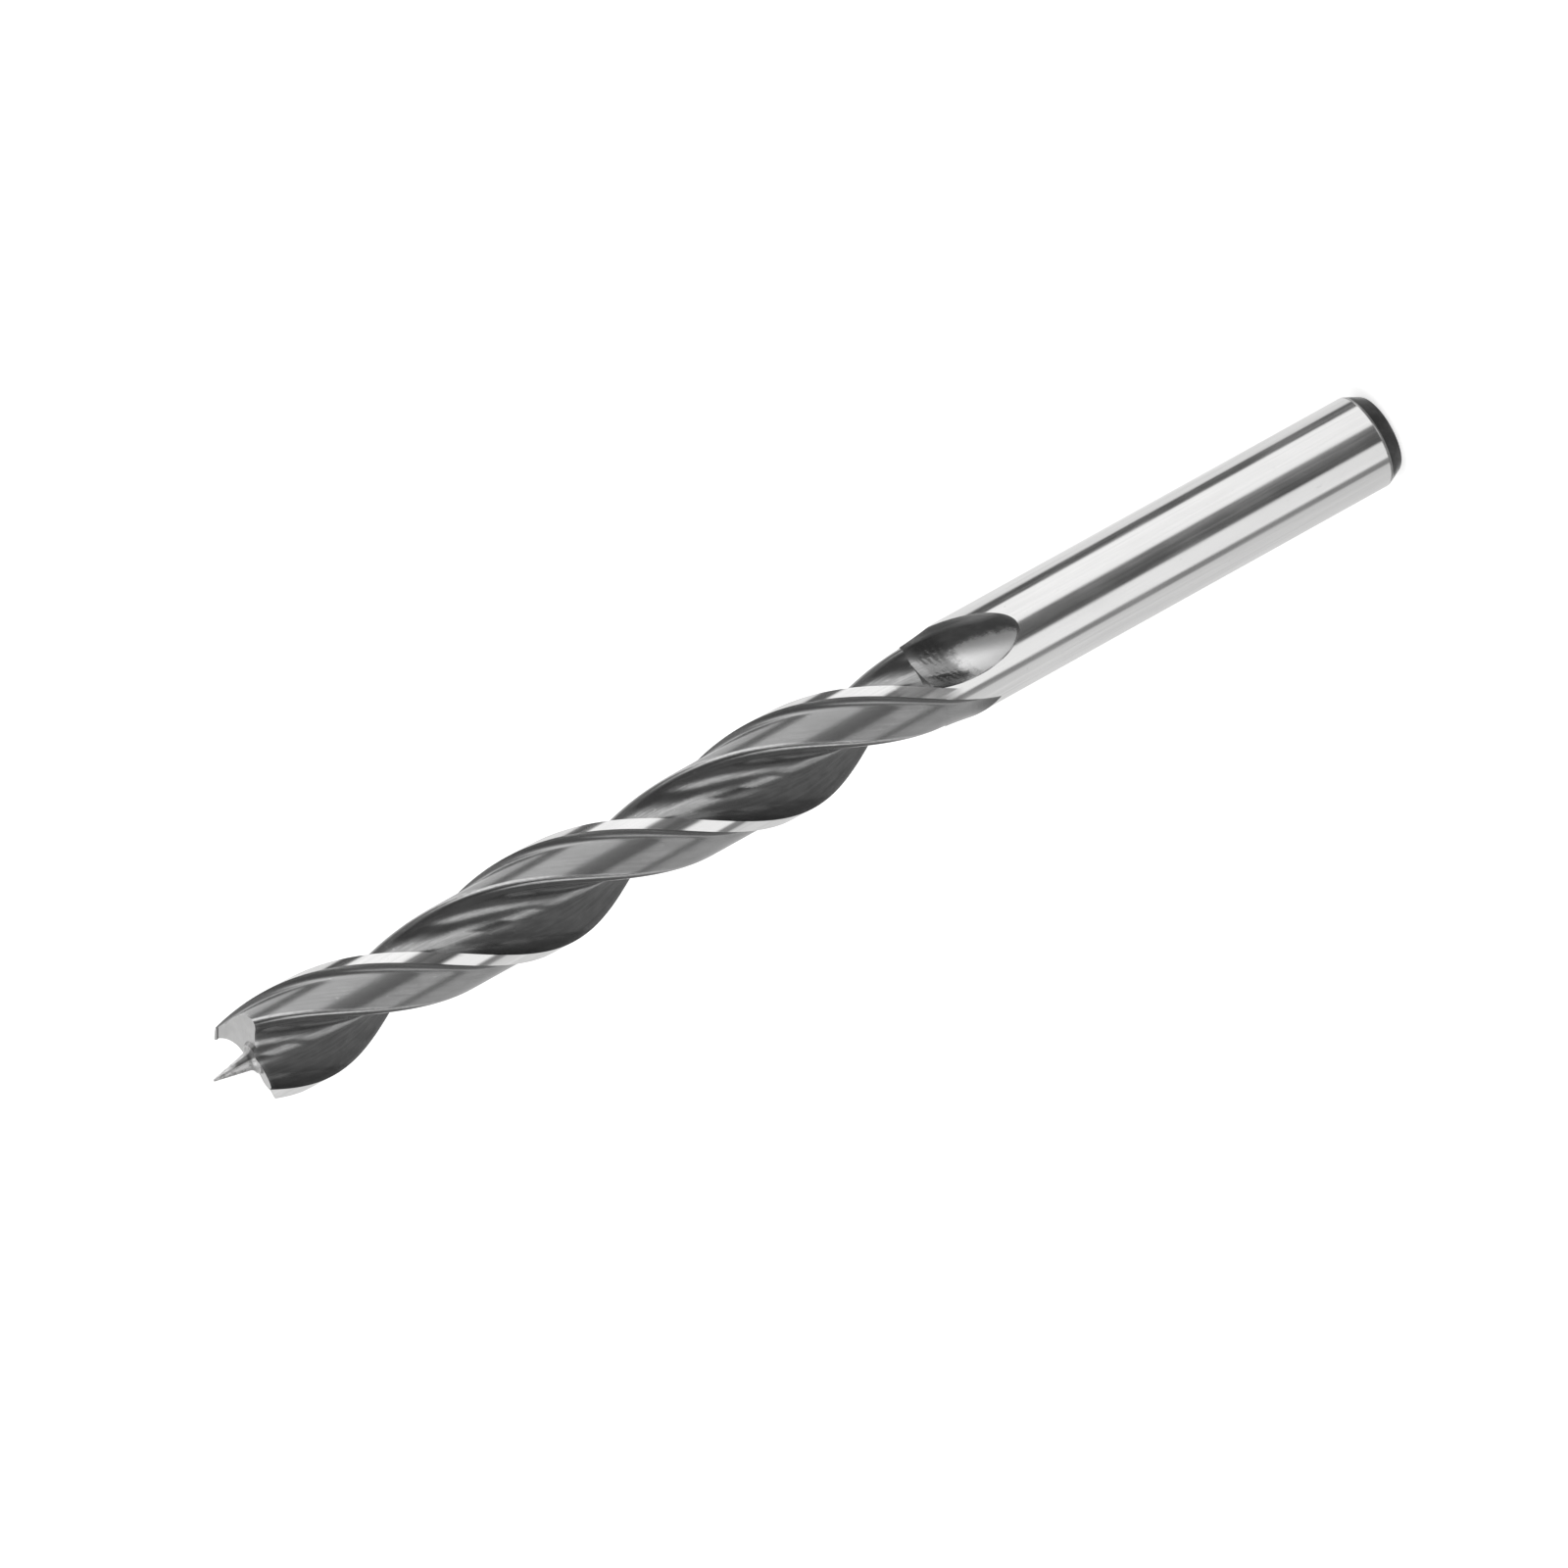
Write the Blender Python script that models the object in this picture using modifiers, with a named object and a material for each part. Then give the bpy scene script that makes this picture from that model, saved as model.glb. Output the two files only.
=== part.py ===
"""Brad-point wood drill bit, 10 mm by 133 mm, right hand, two flutes.

The bit is one piece of steel. It stands on the end of its shank, with its origin at the
centre of that end, and its axis runs up +Z to the brad point. The two spurs lie on +X
and -X. Depths are measured down from the brad point, as they are on the real tool.

The shape follows the way such a bit is made: a turned shank, a helical body swept from
its cross-section, run-outs where the wheels for the flutes and for the relief of the lands
leave the shank, and two ground flanks that leave the brad point and the spurs standing.
"""
from math import acos, atan2, ceil, cos, pi, radians, sin, sqrt, tan

import bmesh
import bpy
from mathutils import Matrix, Vector

MM = 0.001

# The whole bit
OVERALL_LENGTH = 133.0 * MM
CUTTING_DIAMETER = 10.0 * MM
HELIX_ANGLE = radians(30.0)

# Shank, which is ground this much thinner than the hole that the bit cuts
SHANK_REDUCTION = 0.43 * MM
CHAMFER_LENGTH = 1.6 * MM
CHAMFER_DEPTH = 0.85 * MM

# Cross-section of the fluted body
WEB_THICKNESS = 2.6 * MM
FLUTE_RADIUS = 3.9 * MM
MARGIN_WIDTH = 1.26 * MM
CLEARANCE_DEPTH = 0.75 * MM
MARGIN_FILLET = 1.1 * MM
HEEL_ROUNDING = 0.8 * MM

# Run-out of the flutes and of the clearance behind the margins
FLUTE_LENGTH = 80.2 * MM
MARGIN_OVERRUN = 2.8 * MM
MARGIN_TAPER_LENGTH = 7.0 * MM
CLEARANCE_OVERRUN = 6.7 * MM
CLEARANCE_WHEEL_RADIUS = 15.0 * MM
WHEEL_RADIUS = 30.6 * MM
WHEEL_RIM_RADIUS = 4.86 * MM
WHEEL_LIFT = 0.33 * MM
WHEEL_LEAD = radians(5.7)

# Brad point, lips and spurs
BRAD_TIP_RADIUS = 0.12 * MM
BRAD_ANGLE = radians(22.6)
BRAD_CONE_LENGTH = 3.6 * MM
BRAD_FILLET = 0.9 * MM
LIP_ROOT_RADIUS = 1.5 * MM
LIP_ROOT_DEPTH = 4.35 * MM
LIP_RISE = 0.9 * MM
SPUR_HEIGHT = 0.2 * MM
SPUR_THICKNESS = 0.45 * MM
RELIEF_ANGLE = radians(12.0)

# Fineness of the mesh
FLUTE_STEPS = 10
HEEL_STEPS = 4
CLEARANCE_STEPS = 4
FILLET_STEPS = 3
MARGIN_STEPS = 2
LIP_STEPS = 6
ROUND_SEGMENTS = 72
ROWS_PER_TURN = 38
WHEEL_ROWS = 44
WHEEL_SEGMENTS = 48
WHEEL_SWEEP = radians(58.0)
WHEEL_START = radians(10.0)

# Sizes that follow from those above
CUTTING_RADIUS = CUTTING_DIAMETER / 2
SHANK_RADIUS = CUTTING_RADIUS - SHANK_REDUCTION / 2
CLEARANCE_RADIUS = CUTTING_RADIUS - CLEARANCE_DEPTH
WEB_RADIUS = WEB_THICKNESS / 2
PITCH = pi * CUTTING_DIAMETER / tan(HELIX_ANGLE)
MARGIN_LENGTH = FLUTE_LENGTH + MARGIN_OVERRUN
CLEARANCE_LENGTH = FLUTE_LENGTH + CLEARANCE_OVERRUN
SPUR_DEPTH = LIP_ROOT_DEPTH - LIP_RISE - SPUR_HEIGHT
MARGIN_ANGLE = MARGIN_WIDTH / CUTTING_RADIUS

AXIS = Vector((0.0, 0.0))

# Overshoot of cutters past the steel, and the small steps that keep surfaces apart
PASS = 1.0 * MM
SUNK = 0.05 * MM
SKIN = 0.04 * MM


def steel(name, colour, roughness):
    """A Principled metal for one finish of the steel."""
    material = bpy.data.materials.new(name)
    material.use_nodes = True
    shader = material.node_tree.nodes["Principled BSDF"]
    shader.inputs["Base Color"].default_value = (*colour, 1.0)
    shader.inputs["Metallic"].default_value = 1.0
    shader.inputs["Roughness"].default_value = roughness
    material.diffuse_color = (*colour, 1.0)
    return material


def arc(centre, radius, start, end, steps):
    """Points on an arc from the start angle, without the last one, which the next arc gives."""
    turn = (end - start) / steps
    return [centre + radius * Vector((cos(start + turn * i), sin(start + turn * i)))
            for i in range(steps)]


def polar(radius, angle):
    return Vector((radius * cos(angle), radius * sin(angle)))


def direction(vector):
    return atan2(vector.y, vector.x)


def corner_angle(side_a, side_b, opposite):
    """The angle between two sides of a triangle, from its third side."""
    return acos((side_a**2 + side_b**2 - opposite**2) / (2 * side_a * side_b))


def flute_centre():
    """Centre of the flute's arc, which passes through the cutting edge and touches the web."""
    distance = WEB_RADIUS + FLUTE_RADIUS
    return polar(distance, corner_angle(CUTTING_RADIUS, distance, FLUTE_RADIUS))


def heel_centre():
    """Centre of the heel's rounding, which touches the flute and the clearance surface."""
    flute = flute_centre()
    distance = CLEARANCE_RADIUS - HEEL_ROUNDING
    azimuth = direction(flute) + corner_angle(
        distance, flute.length, FLUTE_RADIUS + HEEL_ROUNDING)
    return polar(distance, azimuth)


def margin_fillet():
    """Centre of the fillet behind a margin, and its two end directions from there."""
    distance = CLEARANCE_RADIUS + MARGIN_FILLET
    margin_start = pi - MARGIN_ANGLE
    azimuth = margin_start - corner_angle(CUTTING_RADIUS, distance, MARGIN_FILLET)
    centre = polar(distance, azimuth)
    return centre, azimuth - pi, direction(polar(CUTTING_RADIUS, margin_start) - centre)


def half_section():
    """Half of the body's outline, from one cutting edge at azimuth 0 round to the other."""
    flute = flute_centre()
    heel = heel_centre()
    fillet, fillet_start, fillet_end = margin_fillet()
    edge = direction(polar(CUTTING_RADIUS, 0.0) - flute)
    outline = arc(flute, FLUTE_RADIUS, edge, direction(heel - flute), FLUTE_STEPS)
    outline += arc(heel, HEEL_ROUNDING, direction(flute - heel), direction(heel), HEEL_STEPS)
    outline += arc(AXIS, CLEARANCE_RADIUS, direction(heel), fillet_start + pi, CLEARANCE_STEPS)
    outline += arc(fillet, MARGIN_FILLET, fillet_start, fillet_end, FILLET_STEPS)
    outline += arc(AXIS, CUTTING_RADIUS, pi - MARGIN_ANGLE, pi, MARGIN_STEPS)
    return outline


def body_section():
    """The closed outline of the body across its axis, with both lands."""
    half = half_section()
    return half + [-point for point in half]


def clearance_section():
    """Outline of what the clearance wheel takes off the shank behind one margin."""
    fillet, fillet_start, fillet_end = margin_fillet()
    start = direction(flute_centre()) + WHEEL_LEAD
    outside = CUTTING_RADIUS + 2 * PASS
    inner = CLEARANCE_RADIUS + SKIN
    outline = arc(AXIS, inner, start, fillet_start + pi, 4 * CLEARANCE_STEPS)
    outline += arc(fillet, MARGIN_FILLET - SKIN, fillet_start, fillet_end, FILLET_STEPS + 1)
    outline += arc(AXIS, outside, pi - MARGIN_ANGLE, start, CLEARANCE_STEPS)
    outline.append(polar(outside, start))
    return outline


def edge_azimuth(depth):
    """Azimuth of the cutting edge on the +X side at a depth below the brad point."""
    return 2 * pi * (SPUR_DEPTH - depth) / PITCH


def new_object(name, collection, mesh, materials=()):
    item = bpy.data.objects.new(name, mesh)
    for material in materials:
        mesh.materials.append(material)
    collection.objects.link(item)
    return item


def outline_mesh(name, points):
    """A closed wire through the points, ready to be swept."""
    mesh = bpy.data.meshes.new(name)
    count = len(points)
    edges = [(i, (i + 1) % count) for i in range(count)]
    mesh.from_pydata([tuple(point) for point in points], edges, [])
    return mesh


def swept(item, angle, offset, steps):
    """Give a profile a Screw modifier about the Z axis."""
    screw = item.modifiers.new("sweep", "SCREW")
    screw.axis = "Z"
    screw.angle = angle
    screw.screw_offset = offset
    screw.steps = steps
    screw.render_steps = steps
    screw.use_merge_vertices = True
    screw.merge_threshold = 0.001 * MM
    return screw


def applied(item):
    """Replace an object's mesh by its evaluated one, and drop its modifiers."""
    bpy.context.view_layer.update()
    graph = bpy.context.evaluated_depsgraph_get()
    mesh = bpy.data.meshes.new_from_object(item.evaluated_get(graph))
    item.modifiers.clear()
    item.data = mesh
    return mesh


def shade(mesh):
    mesh.shade_smooth()
    mesh.set_sharp_from_angle(angle=radians(28.0))


def turned(name, collection, profile, materials):
    """A solid of revolution about the Z axis, from (radius, height) points, top to bottom."""
    mesh = bpy.data.meshes.new(name)
    points = [(radius, 0.0, height) for radius, height in profile]
    mesh.from_pydata(points, [(i, i + 1) for i in range(len(points) - 1)], [])
    item = new_object(name, collection, mesh, materials)
    swept(item, 2 * pi, 0.0, ROUND_SEGMENTS)
    shade(applied(item))
    return item


def sealed(bm):
    """Close the open ends of a swept or cut shape, and turn its faces outward."""
    bmesh.ops.holes_fill(bm, edges=[edge for edge in bm.edges if edge.is_boundary])
    bmesh.ops.recalc_face_normals(bm, faces=bm.faces)


def margin_limit(depth):
    """Radius of the margins, which run down into the shank over a short taper."""
    share = (depth - MARGIN_LENGTH + MARGIN_TAPER_LENGTH) / MARGIN_TAPER_LENGTH
    return CUTTING_RADIUS + max(share, 0.0) * (SHANK_RADIUS - SUNK - CUTTING_RADIUS)


def helix(name, collection, outline, start_depth, end_depth, azimuth, fineness, materials):
    """A closed outline swept along the bit's helix between two depths, as an open tube."""
    length = end_depth - start_depth
    start = Matrix.Rotation(edge_azimuth(start_depth) + azimuth, 2)
    points = [(*(start @ point), OVERALL_LENGTH - start_depth) for point in outline]
    item = new_object(name, collection, outline_mesh(name, points), materials)
    rows = ceil(ROWS_PER_TURN * fineness * length / PITCH)
    swept(item, -2 * pi * length / PITCH, -length, rows)
    applied(item)
    return item


def helical_body(name, collection, materials):
    """The fluted body: its section swept down the helix from the brad point to the shank."""
    item = helix(name, collection, body_section(), 0.0, MARGIN_LENGTH, 0.0, 1, materials)
    bm = bmesh.new()
    bm.from_mesh(item.data)
    sealed(bm)
    on_margin = CUTTING_RADIUS - SUNK
    for face in bm.faces:
        ground = all(vert.co.xy.length > on_margin for vert in face.verts)
        face.material_index = 0 if ground else 1
    for vert in bm.verts:
        radius = vert.co.xy.length
        limit = margin_limit(OVERALL_LENGTH - vert.co.z)
        if radius > limit:
            vert.co.xy *= limit / radius
    bm.to_mesh(item.data)
    bm.free()
    shade(item.data)
    return item


def shank(name, collection, materials):
    """The turned shank, with a chamfered end."""
    profile = [
        (0.0, OVERALL_LENGTH - FLUTE_LENGTH),
        (SHANK_RADIUS, OVERALL_LENGTH - FLUTE_LENGTH),
        (SHANK_RADIUS, CHAMFER_LENGTH),
        (SHANK_RADIUS - CHAMFER_DEPTH, 0.0),
        (0.0, 0.0),
    ]
    item = turned(name, collection, profile, materials)
    for face in item.data.polygons:
        face.material_index = 1 if face.center.z < CHAMFER_LENGTH else 0
    return item


def clearance_wheel(name, collection, side, materials):
    """What the clearance wheel takes off the shank before it climbs out behind a margin."""
    start = FLUTE_LENGTH - 2 * SUNK
    end = CLEARANCE_LENGTH + PASS
    item = helix(name, collection, clearance_section(), start, end, side * pi, 3, materials)
    climb = sqrt(2 * CLEARANCE_WHEEL_RADIUS * (SHANK_RADIUS - CLEARANCE_RADIUS))
    bm = bmesh.new()
    bm.from_mesh(item.data)
    sealed(bm)
    for vert in bm.verts:
        radius = vert.co.xy.length
        depth = OVERALL_LENGTH - vert.co.z
        behind = (edge_azimuth(depth) - direction(vert.co.xy)) % pi
        along = depth - CLEARANCE_LENGTH + climb + CUTTING_RADIUS * behind * tan(HELIX_ANGLE)
        floor = CLEARANCE_RADIUS + SKIN + max(along, 0.0) ** 2 / (2 * CLEARANCE_WHEEL_RADIUS)
        if radius < floor:
            vert.co.xy *= floor / radius
    for face in bm.faces:
        face.material_index = 1
    bm.to_mesh(item.data)
    bm.free()
    return item


def flute_wheel(name, collection, side, materials):
    """The rim of a flute wheel where it stops: it leaves the oval run-out in the shank."""
    reach = WEB_RADIUS + WHEEL_LIFT + WHEEL_RADIUS
    hub = WHEEL_RIM_RADIUS - WHEEL_RADIUS
    ring = [Vector((hub + point.x, 0.0, point.y))
            for point in arc(AXIS, WHEEL_RIM_RADIUS, 0.0, 2 * pi, WHEEL_SEGMENTS)]
    back = Matrix.Rotation(-WHEEL_START, 3, "Z")
    mesh = outline_mesh(name, [back @ point for point in ring])
    item = new_object(name, collection, mesh, materials)
    swept(item, WHEEL_SWEEP, 0.0, WHEEL_ROWS)
    applied(item)

    azimuth = edge_azimuth(FLUTE_LENGTH) + direction(flute_centre()) + WHEEL_LEAD + side * pi
    upright = Matrix.Rotation(pi / 2, 4, "X")
    tilted = Matrix.Rotation(-HELIX_ANGLE, 4, "X")
    placed = Matrix.Translation((reach, 0.0, OVERALL_LENGTH - FLUTE_LENGTH))
    stop = (0.0, 0.0, OVERALL_LENGTH - FLUTE_LENGTH + SUNK)
    bm = bmesh.new()
    bm.from_mesh(item.data)
    bm.transform(Matrix.Rotation(azimuth, 4, "Z") @ placed @ tilted @ upright)
    whole = bm.verts[:] + bm.edges[:] + bm.faces[:]
    bmesh.ops.bisect_plane(bm, geom=whole, plane_co=stop, plane_no=(0, 0, 1), clear_outer=True)
    sealed(bm)
    for face in bm.faces:
        face.material_index = 1
    bm.to_mesh(item.data)
    bm.free()
    return item


def lip_profile():
    """The lip from inside the brad out to the spur, as (distance out, depth) points."""
    end = CUTTING_RADIUS - SPUR_THICKNESS
    span = end - LIP_ROOT_RADIUS
    shares = [i / LIP_STEPS for i in range(LIP_STEPS + 1)]
    hollow = [(LIP_ROOT_RADIUS + span * share, LIP_ROOT_DEPTH - LIP_RISE * share**1.3)
              for share in shares]
    inside = [(-LIP_ROOT_RADIUS, LIP_ROOT_DEPTH)]
    spur = [(end + SPUR_HEIGHT / 3, SPUR_DEPTH), (CUTTING_RADIUS + PASS, SPUR_DEPTH)]
    return inside + hollow + spur


def brad_profile():
    """The brad point and the fillet round its foot, as (radius, depth) points from the tip."""
    slope = BRAD_ANGLE / 2
    foot = BRAD_TIP_RADIUS + BRAD_CONE_LENGTH * tan(slope)
    points = [(BRAD_TIP_RADIUS, 0.0)]
    steps = 2 * FILLET_STEPS
    for i in range(steps + 1):
        turn = slope + (radians(75.0) - slope) * i / steps
        points.append((foot + BRAD_FILLET * (cos(slope) - cos(turn)),
                       BRAD_CONE_LENGTH + BRAD_FILLET * (sin(turn) - sin(slope))))
    radius, depth = points[-1]
    skirt = 2 * LIP_ROOT_DEPTH
    points.append((radius + (skirt - depth) * tan(pi / 6), skirt))
    return points


def flank_wheel(name, collection, side, materials):
    """What a flank wheel takes away behind one lip, and above it."""
    top = PASS
    reach = CUTTING_RADIUS + PASS
    drop = tan(RELIEF_ANGLE)
    lip = lip_profile()
    section = [(out, -depth) for out, depth in lip]
    section += [(lip[-1][0], top + drop * reach), (lip[0][0], top + drop * reach)]

    bm = bmesh.new()
    first = [bm.verts.new((x, reach, OVERALL_LENGTH + z + drop * reach)) for x, z in section]
    face = bm.faces.new(first)
    grown = bmesh.ops.extrude_face_region(bm, geom=[face])
    moved = [part for part in grown["geom"] if isinstance(part, bmesh.types.BMVert)]
    bmesh.ops.translate(bm, verts=moved, vec=(0.0, -2 * reach, -2 * reach * drop))
    bmesh.ops.recalc_face_normals(bm, faces=bm.faces)
    bmesh.ops.rotate(bm, verts=bm.verts, matrix=Matrix.Rotation(side * pi, 3, "Z"))
    mesh = bpy.data.meshes.new(name)
    bm.to_mesh(mesh)
    bm.free()
    return new_object(name, collection, mesh, materials)


def point_grinding(name, collection, materials):
    """Both flank wheels as one cutter, which leaves the cone of the brad point standing."""
    cutter = flank_wheel(name + "_0", collection, 0, materials)
    opposite = flank_wheel(name + "_1", collection, 1, materials)
    top = OVERALL_LENGTH + 8 * PASS
    profile = [(0.0, top), (BRAD_TIP_RADIUS, top)]
    profile += [(radius, OVERALL_LENGTH - depth) for radius, depth in brad_profile()]
    profile.append((0.0, profile[-1][1]))
    brad = turned("brad_cone", collection, profile, materials)
    combine(cutter, opposite, "UNION")
    combine(cutter, brad, "DIFFERENCE")
    for item in (cutter, opposite, brad):
        guide(item)
    return cutter


def combine(item, other, operation):
    boolean = item.modifiers.new(other.name, "BOOLEAN")
    boolean.operation = operation
    boolean.solver = "EXACT"
    boolean.object = other


def guide(item):
    """Mark a shape that only cuts or joins."""
    item.hide_render = True
    item.display_type = "WIRE"


def main():
    for item in list(bpy.data.objects):
        bpy.data.objects.remove(item, do_unlink=True)
    parts = bpy.data.collections.new("wood_drill_bit")
    tools = bpy.data.collections.new("grinding_tools")
    bpy.context.scene.collection.children.link(parts)
    bpy.context.scene.collection.children.link(tools)

    bright = steel("bright_ground_steel", (0.80, 0.80, 0.79), 0.24)
    dark = steel("dark_oxide_steel", (0.20, 0.20, 0.20), 0.34)
    finishes = (bright, dark)

    bit = helical_body("drill_bit", parts, finishes)
    blank = shank("shank_blank", tools, finishes)
    combine(bit, blank, "UNION")
    cutters = [clearance_wheel(f"clearance_wheel_{i}", tools, i, finishes) for i in (0, 1)]
    cutters += [flute_wheel(f"flute_wheel_{i}", tools, i, finishes) for i in (0, 1)]
    cutters.append(point_grinding("flank_wheel", tools, finishes))
    for cutter in cutters:
        combine(bit, cutter, "DIFFERENCE")
    for item in [blank] + cutters:
        guide(item)


main()
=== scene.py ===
"""Finished look of a brad-point wood drill bit, 10 mm by 133 mm, standing on its shank end.

The file is laid out as an add-on and run as a script. One operator makes the bit, a fine
steel solid that stands in for the node of the frame, and one sets the stage round it.
"""

from math import acos, atan2, ceil, cos, exp, pi, radians, sin, sqrt, tan

import bmesh
import bpy
from bpy.props import FloatProperty, FloatVectorProperty, IntProperty, PointerProperty
from bpy.types import Operator, Panel, PropertyGroup
from mathutils import Matrix, Quaternion, Vector
from mathutils.kdtree import KDTree


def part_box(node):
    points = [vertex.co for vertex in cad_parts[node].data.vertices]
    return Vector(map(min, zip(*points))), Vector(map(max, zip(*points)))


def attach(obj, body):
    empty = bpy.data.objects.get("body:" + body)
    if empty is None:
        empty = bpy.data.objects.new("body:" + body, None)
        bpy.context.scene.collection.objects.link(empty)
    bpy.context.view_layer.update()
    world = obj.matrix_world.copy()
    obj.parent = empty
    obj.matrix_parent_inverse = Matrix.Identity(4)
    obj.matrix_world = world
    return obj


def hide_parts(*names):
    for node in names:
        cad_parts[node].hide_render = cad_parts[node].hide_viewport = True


bl_info = {
    "name": "Brad-point wood drill bit",
    "version": (1, 0, 0),
    "blender": (4, 5, 0),
    "location": "3D View > Sidebar > Drill Bit",
    "description": "Makes a finished brad-point wood drill bit and a studio stage for it",
    "category": "Object",
}

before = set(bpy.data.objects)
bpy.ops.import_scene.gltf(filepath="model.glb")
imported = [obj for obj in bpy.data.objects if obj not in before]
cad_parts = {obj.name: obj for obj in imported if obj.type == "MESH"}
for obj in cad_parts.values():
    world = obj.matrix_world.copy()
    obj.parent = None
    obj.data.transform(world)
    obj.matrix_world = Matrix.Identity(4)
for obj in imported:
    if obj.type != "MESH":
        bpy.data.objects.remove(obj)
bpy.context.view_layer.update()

MM = 0.001
NODE = "drill_bit"
BODY = "root"
AXIS = Vector((0.0, 0.0))
CAD_LOW, CAD_HIGH = (Vector(corner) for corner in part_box(NODE))

# Material slots of the bit, in the order of its list of steels
BRIGHT, DARK, FLANK, BRAD, END = range(5)

# Steps round a full turn of the turned solids, and of a flute wheel's rim
LATHE_STEPS = 192
BRAD_STEPS = 128
RIM_STEPS = 144
# Rows along the shank, and steps round each corner of its chamfer
SHANK_ROWS = 24
CORNER_STEPS = 4
CORNER_SOFTNESS = 0.16 * MM
# How hollow the lip is: 1 is straight
LIP_HOLLOW = 1.3
# How far the brad's fillet turns out from the axis, and the flare of the skirt below it
BRAD_TURN = radians(75.0)
BRAD_FLARE = radians(30.0)
# The arc of a flute wheel that reaches the shank, and its steps
WHEEL_START = radians(-10.0)
WHEEL_SWEEP = radians(48.0)
WHEEL_STEPS = 110
# How far cutters stand out of the steel, round the body and over the point
OUT_ROUND = 2 * MM
OUT_ABOVE = 8 * MM
# How far before the flutes' stop the flute wheels and the clearance wheels start
FLUTE_LAP = 0.03 * MM
CLEARANCE_LAP = 0.05 * MM
# The clearance wheel stays this much off the land, so that their faces don't coincide
CLEARANCE_SKIN = 0.015 * MM
# Faces this near the full radius are margins
MARGIN_BAND = 0.03 * MM
# Corners sharper than this wear bright and get a painted highlight over a short reach, but not
# this near the stop
WORN_HIGHLIT_CORNER = radians(32.0)
WEAR_HIGHLIGHT_REACH = 0.22 * MM
WEAR_HIGHLIGHT_GAP = 0.2 * MM
SMOOTH_BELOW = radians(30.0)


def length(name, description, default):
    """A property for a size."""
    return FloatProperty(name=name, description=description, default=default, min=0.0,
                         precision=5, unit="LENGTH", subtype="DISTANCE")


def angle(name, description, default):
    """A property for an angle, which is given in degrees here."""
    return FloatProperty(name=name, description=description, default=radians(default),
                         unit="ROTATION", subtype="ANGLE")


def colour(name, description, grey, warmth=0.0):
    """A property for the colour of a steel or a panel, near a grey."""
    default = (grey * (1.0 + warmth), grey, grey * (1.0 - warmth))
    return FloatVectorProperty(name=name, description=description, default=default,
                               size=3, min=0.0, max=1.0, subtype="COLOR")


def level(name, description, default):
    """A property for a plain factor."""
    return FloatProperty(name=name, description=description, default=default,
                         min=0.0, max=1.0, subtype="FACTOR")


class BitSizes(PropertyGroup):
    """Sizes of the bit. Depths are measured down from the brad point."""

    overall_length: length("Overall length", "Brad point to shank end",
                           CAD_HIGH.z - CAD_LOW.z)
    cutting_diameter: length("Cutting diameter", "Across the margins", 2 * CAD_HIGH.x)
    helix_angle: angle("Helix angle", "Of the cutting edges to the axis", 30.0)
    shank_diameter: length("Shank diameter", "Of the plain shank", 9.57 * MM)
    chamfer_length: length("Chamfer length", "At the shank end, along the axis", 1.6 * MM)
    chamfer_depth: length("Chamfer depth", "At the shank end, off the radius", 0.85 * MM)
    web_thickness: length("Web thickness", "Of the core between the flutes", 2.6 * MM)
    flute_radius: length("Flute radius", "Of the flute across the axis", 3.9 * MM)
    margin_width: length("Margin width", "Of the ground band at the edge", 1.26 * MM)
    clearance_depth: length("Clearance depth", "Of the land under the margin", 0.75 * MM)
    margin_fillet: length("Margin fillet", "Radius behind the margin", 1.1 * MM)
    heel_rounding: length("Heel rounding", "Radius between land and flute", 0.8 * MM)
    flute_length: length("Flute length", "Depth at which the wheels stop", 80.2 * MM)
    margin_overrun: length("Margin overrun", "Of the margins past the stop", 2.8 * MM)
    margin_taper: length("Margin taper", "Length that blends the margins in", 7.0 * MM)
    clearance_overrun: length("Clearance overrun", "Past the flutes' stop", 6.7 * MM)
    clearance_wheel: length("Clearance wheel radius", "Of its run-out", 15.0 * MM)
    wheel_radius: length("Flute wheel radius", "Of the flutes' run-out", 30.6 * MM)
    wheel_rim: length("Flute wheel rim radius", "Of the rim's profile", 4.86 * MM)
    wheel_lift: length("Flute wheel lift", "Of the run-out over the web", 0.33 * MM)
    wheel_lead: angle("Flute wheel lead", "Ahead of the flute's middle", 5.7)
    brad_tip: length("Brad tip radius", "Of its blunt end", 0.12 * MM)
    brad_angle: angle("Brad angle", "Across the cone", 22.6)
    brad_cone: length("Brad cone length", "Down to the fillet at its foot", 3.6 * MM)
    brad_fillet: length("Brad fillet", "Radius at the foot of the brad", 0.9 * MM)
    lip_root: length("Lip root", "Distance from the axis to the lip", 1.5 * MM)
    lip_depth: length("Lip depth", "Of the lip beside the brad", 4.35 * MM)
    lip_rise: length("Lip rise", "From the brad out to the spur", 0.9 * MM)
    spur_height: length("Spur height", "Of a spur over the lip's end", 0.2 * MM)
    spur_thickness: length("Spur thickness", "Of a spur at the rim", 0.45 * MM)
    relief_angle: angle("Relief angle", "Of the flank behind a lip", 12.0)
    rows_per_turn: IntProperty(name="Rows per turn", description="Of the helical mesh",
                               default=136, min=24, max=400)
    fineness: IntProperty(name="Fineness", description="Of the section's arcs",
                          default=4, min=1, max=8)


class BitFinish(PropertyGroup):
    """Colours and roughness of the steel."""

    bright: colour("Bright steel", "Ground shank and margins", 0.80, 0.004)
    dark: colour("Dark steel", "Oxide left in flutes and on lands", 0.34)
    flank: colour("Flank steel", "Freshly ground flanks", 0.48, 0.003)
    brad: colour("Brad steel", "Ground brad point", 0.88, 0.004)
    end: colour("End steel", "Chamfer and end of the shank", 0.20)
    bright_roughness: level("Bright roughness", "Of shank and margins", 0.13)
    dark_roughness: level("Dark roughness", "Of flutes and lands", 0.14)
    grind_height: length("Grinding height", "Of the marks in the bump", 0.004 * MM)


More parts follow.
